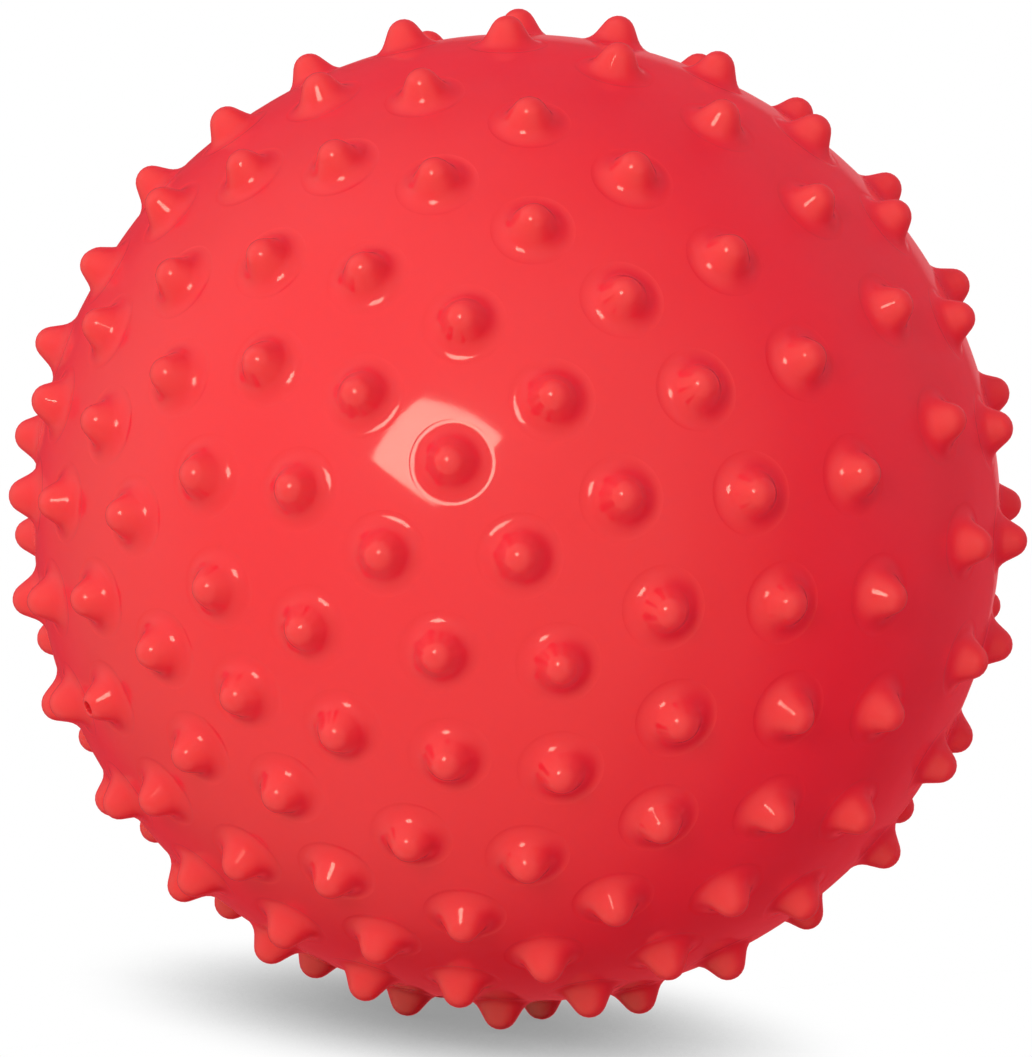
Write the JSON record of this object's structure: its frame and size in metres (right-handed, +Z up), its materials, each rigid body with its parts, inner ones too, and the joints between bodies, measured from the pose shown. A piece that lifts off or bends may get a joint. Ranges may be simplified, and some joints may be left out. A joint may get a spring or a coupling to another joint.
{
  "type": "sensory ball",
  "caption": "Hollow moulded ball covered in rounded rubbery nubs, blown up through a needle valve behind one nub.",
  "frame": {"origin": "on the floor, under the centre of the ball as it stands on three nubs", "axes": "+Z up from the floor through the centre of the ball; -Y is the front, the side in the picture; +X is to the right seen from the front"},
  "size_m": [0.1768, 0.1773, 0.1764],
  "materials": {
    "shell": "glossy soft PVC, moulded in the colour",
    "cup": "plain moulded PVC, uncoloured",
    "plug": "dull moulded rubber"
  },
  "bodies": {
    "root": {"ball_shell": "shell", "valve_cup": "cup", "valve_plug": "plug"}
  },
  "joints": []
}
